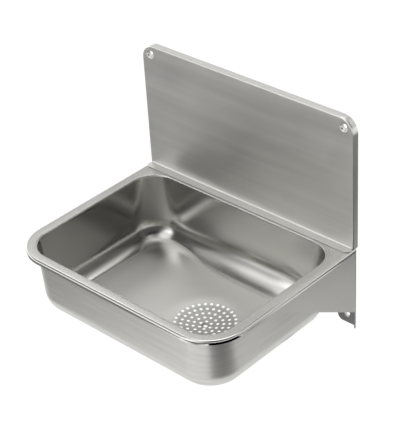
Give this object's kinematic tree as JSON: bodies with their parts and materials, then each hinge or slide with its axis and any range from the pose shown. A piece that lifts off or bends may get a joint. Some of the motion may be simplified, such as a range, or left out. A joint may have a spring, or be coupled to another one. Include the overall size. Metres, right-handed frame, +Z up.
{
  "type": "wall-hung utility sink",
  "caption": "Wall-hung stainless utility sink: a deep round-cornered bowl with a dished, perforated drain, a folded splashback and triangular side brackets.",
  "frame": {"origin": "on the wall plane, at mid-width, level with the top of the rim, on the back face of the bowl's rear flange", "axes": "+X to the right seen from the front, +Y into the wall, +Z up; the front of the sink faces -Y"},
  "size_m": [0.5, 0.385, 0.4365],
  "materials": {
    "bowl_steel": "satin brushed",
    "splashback_steel": "satin brushed",
    "bracket_steel": "satin",
    "weld_steel": "matt weld bead"
  },
  "bodies": {
    "root": {"bowl": "bowl_steel", "splashback": "splashback_steel", "bracket_left": "bracket_steel", "bracket_right": "bracket_steel", "bracket_weld_left": "weld_steel", "bracket_weld_right": "weld_steel", "ledge_spot_welds": "weld_steel"}
  },
  "joints": []
}
